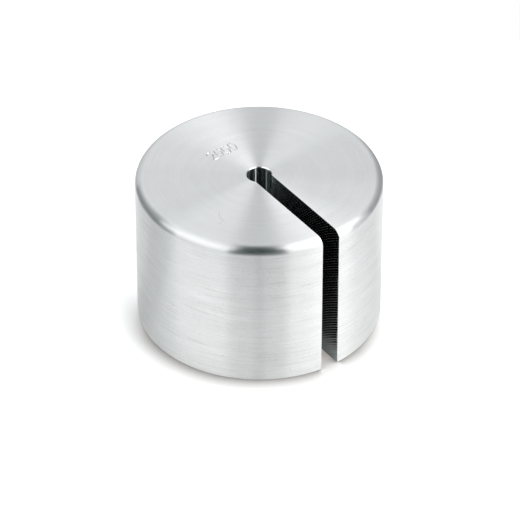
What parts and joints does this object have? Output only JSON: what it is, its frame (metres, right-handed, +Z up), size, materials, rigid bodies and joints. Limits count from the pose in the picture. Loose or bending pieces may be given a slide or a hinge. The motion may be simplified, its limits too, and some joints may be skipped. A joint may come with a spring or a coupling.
{
  "type": "slotted calibration weight",
  "caption": "Turned steel cylinder weight with a large rounded top edge and a slot from the rim to a central bore, so that it drops sideways onto a hanger rod.",
  "frame": {"origin": "centre of the underside, on the bore's axis", "axes": "+Z up along the bore's axis, the slot opens towards -Y, +X to the right when looking into the slot's far end along +Y"},
  "size_m": [0.08, 0.0799, 0.0526],
  "materials": {
    "turned_steel": "bare turned stainless steel, concentric tool lines, bright rounded top edge, saw-marked slot walls"
  },
  "bodies": {
    "root": {"weight_body": "turned_steel"}
  },
  "joints": []
}
